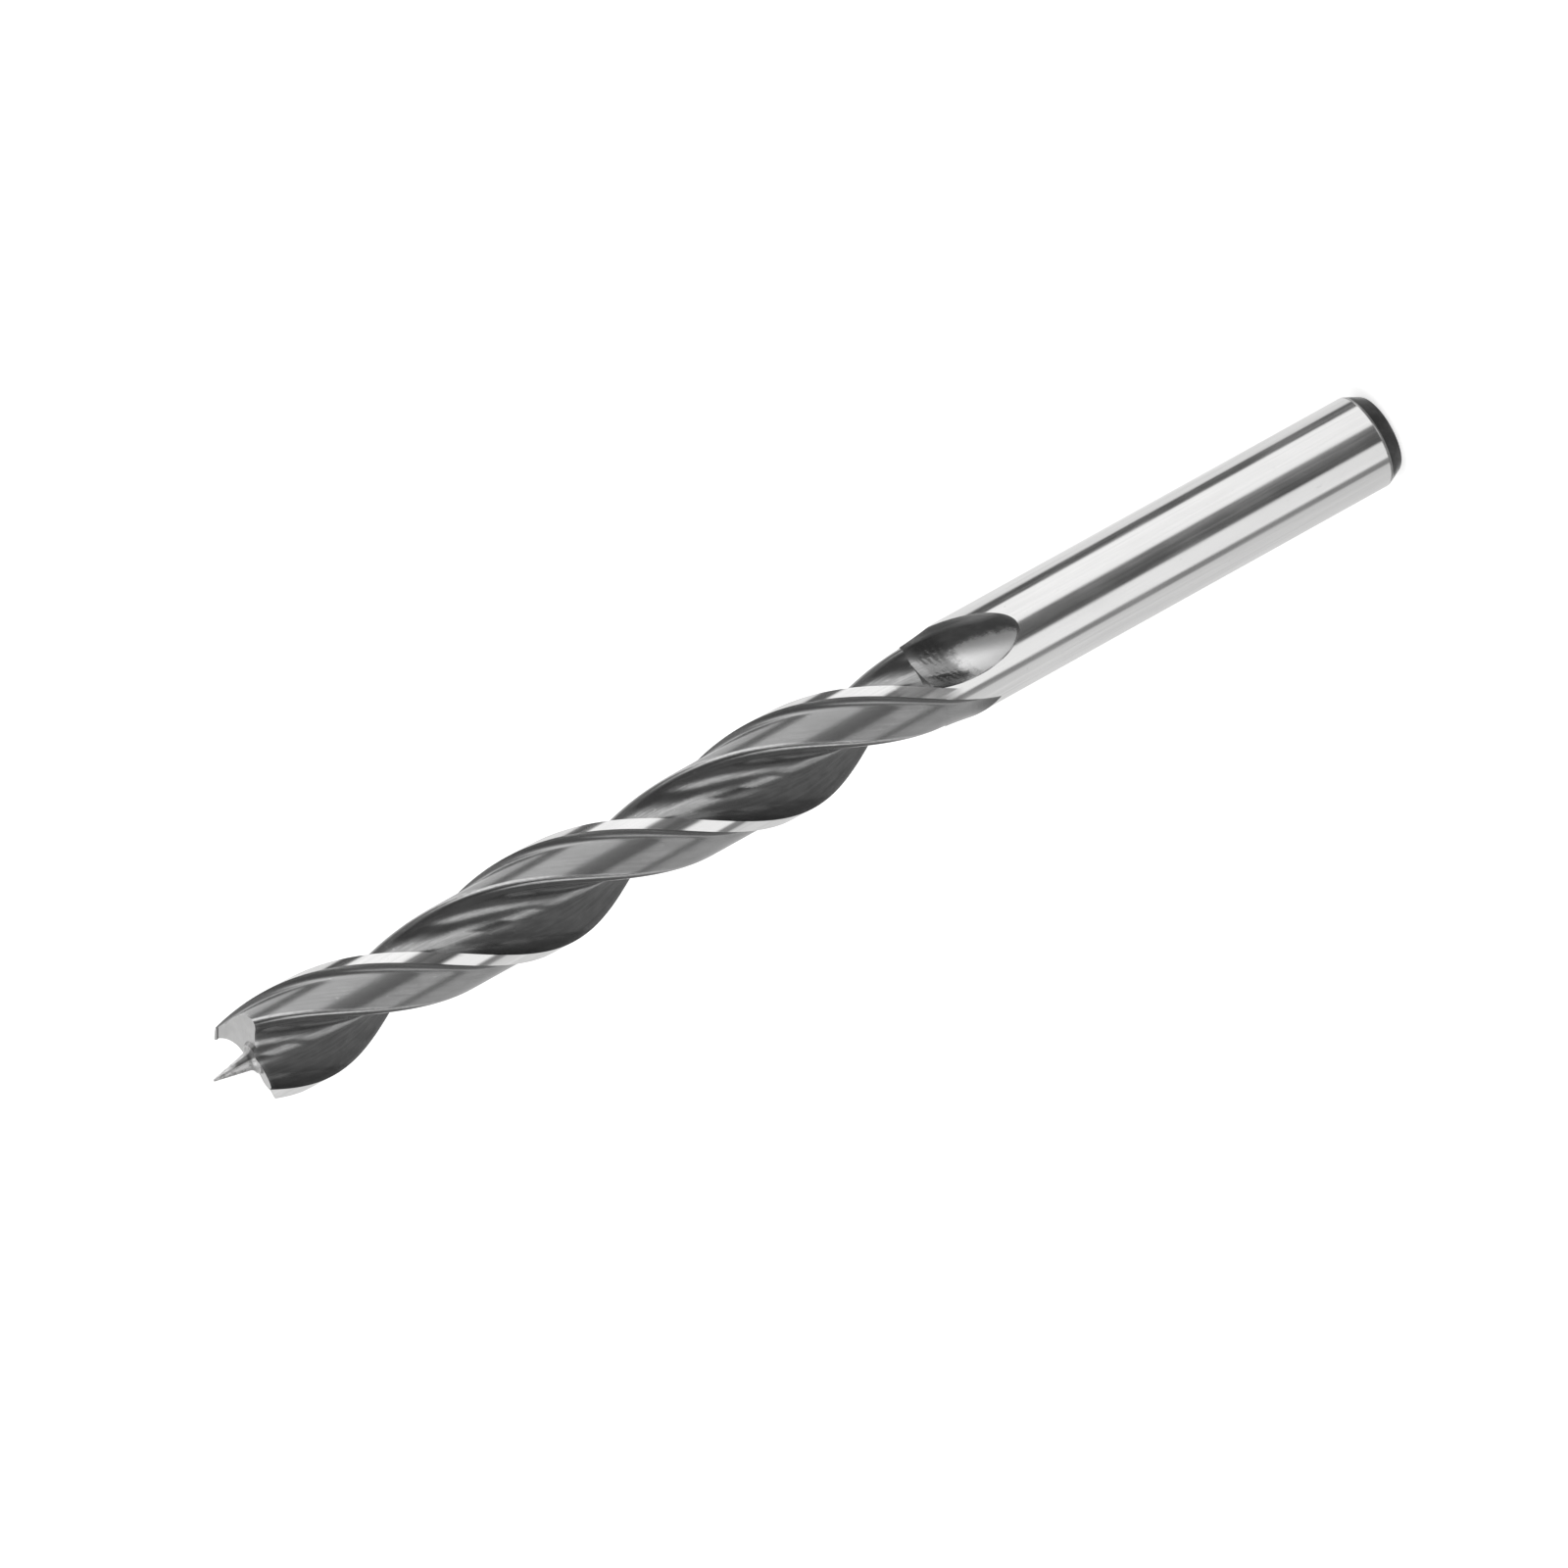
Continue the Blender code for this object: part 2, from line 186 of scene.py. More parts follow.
class StageLook(PropertyGroup):
    """Floor, light and camera."""

    floor: colour("Floor", "Colour of the floor", 0.92)
    floor_size: length("Floor size", "Side of the floor", 14.0)
    lamp_energy: FloatProperty(name="Lamp power", description="Of the soft lamp",
                               default=9.0, min=0.0, unit="POWER")
    lamp_size: length("Lamp size", "Side of the soft lamp", 1.6)
    view_turn: angle("View turn", "Camera's direction round the axis", -138.4)
    view_height: angle("View height", "Camera's direction over the floor", 20.0)
    view_roll: angle("View roll", "Camera's turn about its own view", -119.07)
    view_distance: length("View distance", "Camera to the bit's axis", 2.0149)
    view_level: length("View level", "Height the camera aims at", 69.56 * MM)
    view_side: length("View side", "Aim to the left of the axis", 1.65 * MM)
    lens: FloatProperty(name="Lens", description="Focal length", default=493.45,
                        min=1.0, max=2000.0, unit="CAMERA")


class Shape:
    """The bit's sizes with those that follow from them, and its outlines."""

    def __init__(self, sizes):
        self.size = sizes
        self.radius = sizes.cutting_diameter / 2
        self.shank = sizes.shank_diameter / 2
        self.land = self.radius - sizes.clearance_depth
        self.web = sizes.web_thickness / 2
        self.pitch = pi * sizes.cutting_diameter / tan(sizes.helix_angle)
        self.top = sizes.overall_length
        self.margin_angle = sizes.margin_width / self.radius
        self.spur_depth = sizes.lip_depth - sizes.lip_rise - sizes.spur_height
        self.margin_end = sizes.flute_length + sizes.margin_overrun
        self.clearance_end = sizes.flute_length + sizes.clearance_overrun

    def edge_azimuth(self, depth):
        """Azimuth of the cutting edge on the +X side at a depth."""
        return 2 * pi * (self.spur_depth - depth) / self.pitch

    def flute_centre(self):
        distance = self.web + self.size.flute_radius
        return polar(distance, corner_angle(self.radius, distance, self.size.flute_radius))

    def heel_centre(self):
        flute = self.flute_centre()
        distance = self.land - self.size.heel_rounding
        reach = self.size.flute_radius + self.size.heel_rounding
        return polar(distance, direction(flute) + corner_angle(distance, flute.length, reach))

    def margin_fillet(self):
        """Centre of the fillet behind a margin, and its two end directions from there."""
        distance = self.land + self.size.margin_fillet
        start = pi - self.margin_angle
        azimuth = start - corner_angle(self.radius, distance, self.size.margin_fillet)
        centre = polar(distance, azimuth)
        return centre, azimuth - pi, direction(polar(self.radius, start) - centre)

    def body_section(self):
        """The closed outline of the body across its axis, with both lands."""
        size = self.size
        fine = size.fineness
        flute = self.flute_centre()
        heel = self.heel_centre()
        fillet, fillet_start, fillet_end = self.margin_fillet()
        edge = direction(polar(self.radius, 0.0) - flute)
        half = arc(flute, size.flute_radius, edge, direction(heel - flute), 10 * fine)
        half += arc(heel, size.heel_rounding, direction(flute - heel), direction(heel), 4 * fine)
        half += arc(AXIS, self.land, direction(heel), fillet_start + pi, 4 * fine)
        half += arc(fillet, size.margin_fillet, fillet_start, fillet_end, 3 * fine)
        half += arc(AXIS, self.radius, pi - self.margin_angle, pi, 2 * fine)
        return half + [-point for point in half]

    def clearance_section(self, skin, outside):
        """Outline of what the clearance wheel takes off the shank behind one margin."""
        fine = self.size.fineness
        fillet, fillet_start, fillet_end = self.margin_fillet()
        start = direction(self.flute_centre()) + self.size.wheel_lead
        outline = arc(AXIS, self.land + skin, start, fillet_start + pi, 10 * fine)
        outline += arc(fillet, self.size.margin_fillet - skin, fillet_start, fillet_end,
                       3 * fine)
        outline += arc(AXIS, outside, pi - self.margin_angle, start, 4 * fine)
        outline.append(polar(outside, start))
        return outline

    def lip_profile(self):
        """The lip from inside the brad out to the spur, as (distance out, depth) points."""
        size = self.size
        end = self.radius - size.spur_thickness
        steps = 8 * size.fineness
        shares = [i / steps for i in range(steps + 1)]
        hollow = [(size.lip_root + (end - size.lip_root) * share,
                   size.lip_depth - size.lip_rise * share**LIP_HOLLOW) for share in shares]
        spur = [(end + size.spur_height / 3, self.spur_depth),
                (self.radius + MM, self.spur_depth)]
        return [(-size.lip_root, size.lip_depth)] + hollow + spur

    def brad_profile(self):
        """The brad point and the fillet round its foot, as (radius, depth) points."""
        size = self.size
        slope = size.brad_angle / 2
        foot = size.brad_tip + size.brad_cone * tan(slope)
        points = [(size.brad_tip * 0.55, 0.0), (size.brad_tip * 0.9, size.brad_tip * 0.25),
                  (size.brad_tip * 1.1, size.brad_tip)]
        steps = 6 * size.fineness
        for i in range(steps + 1):
            turn = slope + (BRAD_TURN - slope) * i / steps
            points.append((foot + size.brad_fillet * (cos(slope) - cos(turn)),
                           size.brad_cone + size.brad_fillet * (sin(turn) - sin(slope))))
        radius, depth = points[-1]
        skirt = 2 * size.lip_depth
        points.append((radius + (skirt - depth) * tan(BRAD_FLARE), skirt))
        return points

    def margin_envelope(self):
        """Profile round the body whose cone runs the margins down into the shank."""
        sunk = 0.05 * MM
        spare = 0.2 * MM
        fall = (self.radius - self.shank + sunk) / self.size.margin_taper
        start = self.margin_end - self.size.margin_taper
        wide = self.radius + spare
        shoulder = start - spare / fall
        foot = self.margin_end + MM
        narrow = self.radius - fall * (foot - start)
        return [(0.0, self.top + MM), (wide, self.top + MM), (wide, self.top - shoulder),
                (narrow, self.top - foot), (0.0, self.top - foot)]


def polar(radius, azimuth):
    return Vector((radius * cos(azimuth), radius * sin(azimuth)))


def direction(vector):
    return atan2(vector.y, vector.x)


def corner_angle(side_a, side_b, opposite):
    """The angle between two sides of a triangle, from its third side."""
    return acos((side_a**2 + side_b**2 - opposite**2) / (2 * side_a * side_b))


def arc(centre, radius, start, end, steps):
    """Points on an arc, without the last one, which the next arc gives."""
    return [centre + polar(radius, start + (end - start) * i / steps) for i in range(steps)]


def new_object(name, mesh, materials=()):
    """A new object at the origin with the given materials."""
    mesh.materials.clear()
    for material in materials:
        mesh.materials.append(material)
    item = bpy.data.objects.new(name, mesh)
    bpy.context.scene.collection.objects.link(item)
    return item


def wire_mesh(name, points, closed):
    """A mesh of edges only, through the points."""
    mesh = bpy.data.meshes.new(name)
    count = len(points)
    last = count if closed else count - 1
    edges = [(i, (i + 1) % count) for i in range(last)]
    mesh.from_pydata([tuple(point) for point in points], edges, [])
    return mesh


def applied(item):
    """Replace an object's mesh by its evaluated one, and drop its modifiers."""
    bpy.context.view_layer.update()
    graph = bpy.context.evaluated_depsgraph_get()
    mesh = bpy.data.meshes.new_from_object(item.evaluated_get(graph))
    item.modifiers.clear()
    old = item.data
    item.data = mesh
    bpy.data.meshes.remove(old)
    return mesh


def sealed(bm):
    """Close the open ends of a swept or cut shape, and turn its faces outward."""
    bmesh.ops.holes_fill(bm, edges=[edge for edge in bm.edges if edge.is_boundary])
    bmesh.ops.recalc_face_normals(bm, faces=bm.faces)


def combine(item, other, operation):
    boolean = item.modifiers.new(other.name, "BOOLEAN")
    boolean.operation = operation
    boolean.solver = "EXACT"
    boolean.object = other


class Nodes:
    """Short calls for building a node tree."""

    def __init__(self, tree):
        self.tree = tree

    def add(self, kind, values=None, **settings):
        """A new node, with its inputs set or linked by name or by number."""
        node = self.tree.nodes.new(kind)
        for key, value in settings.items():
            setattr(node, key, value)
        for key, value in (values or {}).items():
            if isinstance(value, bpy.types.NodeSocket):
                self.tree.links.new(value, node.inputs[key])
            else:
                node.inputs[key].default_value = value
        return node

    def math(self, operation, *values):
        return self.add("ShaderNodeMath", dict(enumerate(values)),
                        operation=operation).outputs[0]

    def spread(self, value, low, high, out_low=0.0, out_high=1.0):
        """A value mapped from one range to another, smoothly."""
        return self.add("ShaderNodeMapRange", {"Value": value, "From Min": low,
                                               "From Max": high, "To Min": out_low,
                                               "To Max": out_high},
                        interpolation_type="SMOOTHSTEP").outputs["Result"]


def helical_sweep_tree():
    """Node tree that sweeps the host's outline up a helix and caps it."""
    tree = bpy.data.node_groups.new("helical_sweep", "GeometryNodeTree")
    sockets = tree.interface
    sockets.new_socket("Geometry", in_out="INPUT", socket_type="NodeSocketGeometry")
    for name in ("Foot", "Length", "First Turn", "Turn"):
        sockets.new_socket(name, in_out="INPUT", socket_type="NodeSocketFloat")
    sockets.new_socket("Rows", in_out="INPUT", socket_type="NodeSocketInt")
    sockets.new_socket("Steel", in_out="INPUT", socket_type="NodeSocketMaterial")
    sockets.new_socket("Geometry", in_out="OUTPUT", socket_type="NodeSocketGeometry")

    build = Nodes(tree)
    add = build.add
    given = add("NodeGroupInput").outputs
    outline = add("GeometryNodeMeshToCurve", {"Mesh": given["Geometry"]})
    low = add("ShaderNodeCombineXYZ", {"Z": given["Foot"]})
    head = build.math("ADD", given["Foot"], given["Length"])
    high = add("ShaderNodeCombineXYZ", {"Z": head})
    axis = add("GeometryNodeCurvePrimitiveLine", {"Start": low.outputs[0],
                                                  "End": high.outputs[0]})
    rows = add("GeometryNodeResampleCurve", {"Curve": axis.outputs["Curve"],
                                             "Count": given["Rows"]})

    share = add("GeometryNodeSplineParameter").outputs["Factor"]
    turn = build.math("MULTIPLY_ADD", share, given["Turn"], given["First Turn"])
    facing = add("ShaderNodeCombineXYZ", {"X": build.math("COSINE", turn),
                                          "Y": build.math("SINE", turn)})
    turned = add("GeometryNodeSetCurveNormal", {"Curve": rows.outputs["Curve"],
                                                "Normal": facing.outputs[0]}, mode="FREE")

    skin = add("GeometryNodeCurveToMesh", {"Curve": turned.outputs["Curve"],
                                           "Profile Curve": outline.outputs["Curve"],
                                           "Fill Caps": True})
    real = add("GeometryNodeRealizeInstances", {"Geometry": skin.outputs["Mesh"]})
    finish = add("GeometryNodeSetMaterial", {"Geometry": real.outputs["Geometry"],
                                             "Material": given["Steel"]})
    add("NodeGroupOutput", {"Geometry": finish.outputs["Geometry"]})
    return tree


def helix(name, tree, shape, outline, start, end, azimuth, fineness, materials):
    """A closed outline swept along the bit's helix between two depths, as a capped solid."""
    rows = ceil(shape.size.rows_per_turn * fineness * (end - start) / shape.pitch)
    item = new_object(name, wire_mesh(name, [(*point, 0.0) for point in outline], True))
    sweep = item.modifiers.new("sweep", "NODES")
    sweep.node_group = tree
    values = {
        "Foot": shape.top - end,
        "Length": end - start,
        "First Turn": shape.edge_azimuth(end) + azimuth,
        "Turn": shape.edge_azimuth(start) - shape.edge_azimuth(end),
        "Rows": rows,
        "Steel": materials[DARK],
    }
    for socket in tree.interface.items_tree:
        if socket.in_out == "INPUT" and socket.name in values:
            sweep[socket.identifier] = values[socket.name]
    mesh = applied(item)
    mesh.materials.clear()
    for material in materials:
        mesh.materials.append(material)
    return item


def helical_body(shape, tree, materials):
    """The fluted body, with bright margins."""
    item = helix("body_steel", tree, shape, shape.body_section(), 0.0, shape.margin_end,
                 0.0, 1, materials)
    bm = bmesh.new()
    bm.from_mesh(item.data)
    bmesh.ops.recalc_face_normals(bm, faces=bm.faces)
    for face in bm.faces:
        ground = all(vert.co.xy.length > shape.radius - MARGIN_BAND for vert in face.verts)
        face.material_index = BRIGHT if ground else DARK
    bm.to_mesh(item.data)
    bm.free()
    return item


def turned(name, profile, segments, materials, slot):
    """A solid of revolution about the Z axis, from (radius, height) points, top to bottom."""
    points = [(radius, 0.0, height) for radius, height in profile]
    item = new_object(name, wire_mesh(name, points, False), materials)
    screw = item.modifiers.new("lathe", "SCREW")
    screw.angle = 2 * pi
    screw.steps = segments
    screw.render_steps = segments
    screw.use_merge_vertices = True
    screw.merge_threshold = 0.0005 * MM
    mesh = applied(item)
    for face in mesh.polygons:
        face.material_index = slot
    return item


def shank(shape, materials):
    """The turned shank, with a chamfer whose corners are broken, and its flat end."""
    size = shape.size
    slope = atan2(size.chamfer_depth, size.chamfer_length)
    soft = CORNER_SOFTNESS
    low = shape.shank - size.chamfer_depth
    head = shape.top - size.flute_length
    rise = size.chamfer_length + soft
    profile = [(0.0, head)]
    profile += [(shape.shank, rise + (head - rise) * (1.0 - i / SHANK_ROWS))
                for i in range(SHANK_ROWS)]
    profile.append((shape.shank, rise + soft))
    shares = [i / CORNER_STEPS for i in range(CORNER_STEPS + 1)]
    profile += [(shape.shank - soft * sin(slope) * share**2,
                 rise - soft * share * (1.0 + cos(slope) * share) / 2) for share in shares]
    profile += [(low + soft * sin(slope) * (1.0 - share) ** 2 - soft * share / 2,
                 soft * cos(slope) * (1.0 - share) ** 2) for share in shares]
    profile += [(low * 0.5, 0.0), (0.0, 0.0)]
    item = turned("shank_steel", profile, LATHE_STEPS, materials, BRIGHT)
    for face in item.data.polygons:
        face.material_index = END if face.center.z < size.chamfer_length else BRIGHT
    return item


def clearance_wheel(shape, tree, side, materials):
    """What the clearance wheel takes off the shank before it climbs out behind a margin."""
    size = shape.size
    section = shape.clearance_section(CLEARANCE_SKIN, shape.radius + OUT_ROUND)
    start = size.flute_length - CLEARANCE_LAP
    item = helix(f"clearance_{side}", tree, shape, section, start,
                 shape.clearance_end + MM, side * pi, 2, materials)
    climb = sqrt(2 * size.clearance_wheel * (shape.shank - shape.land))
    slant = shape.radius * tan(size.helix_angle)
    bm = bmesh.new()
    bm.from_mesh(item.data)
    bmesh.ops.recalc_face_normals(bm, faces=bm.faces)
    for vert in bm.verts:
        radius = vert.co.xy.length
        depth = shape.top - vert.co.z
        behind = (shape.edge_azimuth(depth) - direction(vert.co.xy)) % pi
        past = max(depth - shape.clearance_end + climb + slant * behind, 0.0)
        floor = shape.land + CLEARANCE_SKIN + past**2 / (2 * size.clearance_wheel)
        if radius < floor:
            vert.co.xy *= floor / radius
    for face in bm.faces:
        face.material_index = DARK
    bm.to_mesh(item.data)
    bm.free()
    return item


def flute_wheel(shape, side, materials):
    """The rim of a flute wheel where it stops: it leaves the oval run-out in the shank."""
    size = shape.size
    reach = shape.web + size.wheel_lift + size.wheel_radius
    hub = size.wheel_rim - size.wheel_radius
    back = Matrix.Rotation(WHEEL_START, 3, "Z")
    ring = [back @ Vector((hub + point.x, 0.0, point.y))
            for point in arc(AXIS, size.wheel_rim, 0.0, 2 * pi, RIM_STEPS)]
    item = new_object(f"flute_wheel_{side}", wire_mesh("flute_wheel", ring, True), materials)
    screw = item.modifiers.new("rim", "SCREW")
    screw.angle = WHEEL_SWEEP
    screw.steps = WHEEL_STEPS
    screw.render_steps = WHEEL_STEPS
    applied(item)

    stop = shape.top - size.flute_length
    azimuth = shape.edge_azimuth(size.flute_length) + direction(shape.flute_centre())
    upright = Matrix.Rotation(pi / 2, 4, "X")
    tilted = Matrix.Rotation(-size.helix_angle, 4, "X")
    placed = Matrix.Translation((reach, 0.0, stop))
    turn = Matrix.Rotation(azimuth + size.wheel_lead + side * pi, 4, "Z")
    bm = bmesh.new()
    bm.from_mesh(item.data)
    bm.transform(turn @ placed @ tilted @ upright)
    bmesh.ops.bisect_plane(bm, geom=bm.verts[:] + bm.edges[:] + bm.faces[:],
                           plane_co=(0.0, 0.0, stop + FLUTE_LAP), plane_no=(0, 0, 1),
                           clear_outer=True)
    sealed(bm)
    for face in bm.faces:
        face.material_index = DARK
    bm.to_mesh(item.data)
    bm.free()
    return item


def flank_wheel(shape, side, materials):
    """What a flank wheel takes away behind one lip, and above it."""
    reach = shape.radius + MM
    drop = tan(shape.size.relief_angle)
    lip = shape.lip_profile()
    section = [(out, -depth) for out, depth in lip]
    section += [(lip[-1][0], MM + drop * reach), (lip[0][0], MM + drop * reach)]
    bm = bmesh.new()
    first = [bm.verts.new((x, reach, shape.top + z + drop * reach)) for x, z in section]
    grown = bmesh.ops.extrude_face_region(bm, geom=[bm.faces.new(first)])
    moved = [part for part in grown["geom"] if isinstance(part, bmesh.types.BMVert)]
    bmesh.ops.translate(bm, verts=moved, vec=(0.0, -2 * reach, -2 * reach * drop))
    bmesh.ops.recalc_face_normals(bm, faces=bm.faces)
    bmesh.ops.rotate(bm, verts=bm.verts, matrix=Matrix.Rotation(side * pi, 3, "Z"))
    mesh = bpy.data.meshes.new("flank_wheel")
    bm.to_mesh(mesh)
    bm.free()
    item = new_object(f"flank_wheel_{side}", mesh, materials)
    for face in mesh.polygons:
        face.material_index = FLANK
    return item


def point_grinding(shape, materials):
    """Both flank wheels as one cutter, which leaves the cone of the brad point standing."""
    cutter = flank_wheel(shape, 0, materials)
    opposite = flank_wheel(shape, 1, materials)
    top = shape.top + OUT_ABOVE
    tip = shape.brad_profile()
    profile = [(0.0, top), (tip[0][0], top)]
    profile += [(radius, shape.top - depth) for radius, depth in tip]
    profile.append((0.0, profile[-1][1]))
    brad = turned("brad_cone", profile, BRAD_STEPS, materials, BRAD)
    combine(cutter, opposite, "UNION")
    combine(cutter, brad, "DIFFERENCE")
    applied(cutter)
    return cutter, [opposite, brad]


def part_finishes(mesh):
    """A sharp edge wherever two finishes meet."""
    bm = bmesh.new()
    bm.from_mesh(mesh)
    for edge in bm.edges:
        if len({face.material_index for face in edge.link_faces}) > 1:
            edge.smooth = False
    bm.to_mesh(mesh)
    bm.free()


def mark_surface(mesh, shape):
    """Store where each point lies along the helix, and how near a sharp edge it is."""
    bm = bmesh.new()
    bm.from_mesh(mesh)
    stop = shape.top - shape.size.flute_length
    corners = [edge for edge in bm.edges
               if len(edge.link_faces) == 2 and edge.calc_face_angle() > WORN_HIGHLIT_CORNER
               and abs(edge.verts[0].co.z - stop) > WEAR_HIGHLIGHT_GAP]
    tree = KDTree(3 * len(corners))
    for i, edge in enumerate(corners):
        a, b = (vert.co for vert in edge.verts)
        for k, share in enumerate((0.0, 0.5, 1.0)):
            tree.insert(a.lerp(b, share), 3 * i + k)
    tree.balance()
    places = []
    wear_and_highlight = []
    for vert in mesh.vertices:
        depth = shape.top - vert.co.z
        flat = Matrix.Rotation(-shape.edge_azimuth(depth), 2) @ vert.co.xy
        places += [flat.x / MM, flat.y / MM, depth / MM]
        # Nearness to a sharp corner, used for edge wear and for a painted highlight along the edge
        wear_and_highlight.append(exp(-(tree.find(vert.co)[2] / WEAR_HIGHLIGHT_REACH) ** 2))
    bm.free()
    mesh.attributes.new("unwound", "FLOAT_VECTOR", "POINT")
    mesh.attributes.new("edge_wear_and_highlight", "FLOAT", "POINT")
    mesh.attributes["unwound"].data.foreach_set("vector", places)
    mesh.attributes["edge_wear_and_highlight"].data.foreach_set("value", wear_and_highlight)


class Look(Nodes):
    """Short calls for a Principled material."""

    def __init__(self, name):
        self.material = bpy.data.materials.new(name)
        self.material.use_nodes = True
        super().__init__(self.material.node_tree)
        self.shader = self.tree.nodes["Principled BSDF"]

    def set(self, name, value):
        if isinstance(value, bpy.types.NodeSocket):
            self.tree.links.new(value, self.shader.inputs[name])
        else:
            self.shader.inputs[name].default_value = value

    def unwound(self):
        """Place across and down the helix, in millimetres, as stored on the bit."""
        return self.add("ShaderNodeAttribute", attribute_name="unwound").outputs["Vector"]

    # Edge wear, with a painted highlight along sharp corners
    def wear_and_highlight(self):
        return self.add("ShaderNodeAttribute", attribute_name="edge_wear_and_highlight").outputs["Fac"]

    def noise(self, scale, detail, rough=0.55, source=None):
        """Noise with a scale per axis, on Object coordinates or another source."""
        if source is None:
            source = self.add("ShaderNodeTexCoord").outputs["Object"]
        vector = self.add("ShaderNodeMapping", {"Vector": source, "Scale": scale}).outputs[0]
        return self.add("ShaderNodeTexNoise", {"Vector": vector, "Scale": 1.0,
                                               "Detail": detail,
                                               "Roughness": rough}).outputs["Fac"]

    def behind_edge(self, across):
        """Azimuth from a cutting edge, from 0 to pi, alike for both flutes."""
        return self.math("FLOORED_MODULO", self.math("ARCTAN2", across["Y"], across["X"]), pi)

    def mix(self, factor, first, second):
        return self.add("ShaderNodeMix", {0: factor, 6: first, 7: second},
                        data_type="RGBA").outputs[2]

    def bump(self, height, distance, strength, under=None):
        values = {"Height": height, "Distance": distance, "Strength": strength}
        if under:
            values["Normal"] = under
        return self.add("ShaderNodeBump", values).outputs["Normal"]


def shade_of(base, factor):
    return (*(min(channel * factor, 1.0) for channel in base), 1.0)


def bright_steel(finish):
    """Cylindrically ground steel: fine streaks along the bit and a faint cloudiness."""
    look = Look("bright_steel")
    streaks = look.noise((3200.0, 3200.0, 70.0), 4.0, 0.6)
    cloud = look.noise((420.0, 420.0, 160.0), 2.0)
    pits = look.noise((2600.0, 2600.0, 2100.0), 2.0)
    tone = look.math("ADD", look.math("MULTIPLY", streaks, 0.6), look.math("MULTIPLY", cloud, 0.4))
    base = look.mix(look.spread(tone, 0.35, 0.65), shade_of(finish.bright, 0.93),
                    shade_of(finish.bright, 1.06))
    base = look.mix(look.spread(pits, 0.70, 0.78, 0.0, 0.35), base, shade_of(finish.bright, 0.6))
    look.set("Base Color", base)
    look.set("Metallic", 1.0)
    rough = finish.bright_roughness
    look.set("Roughness", look.spread(tone, 0.3, 0.7, rough * 0.8, rough * 1.35))
    look.set("Normal", look.bump(streaks, finish.grind_height, 0.35))
    return look.material


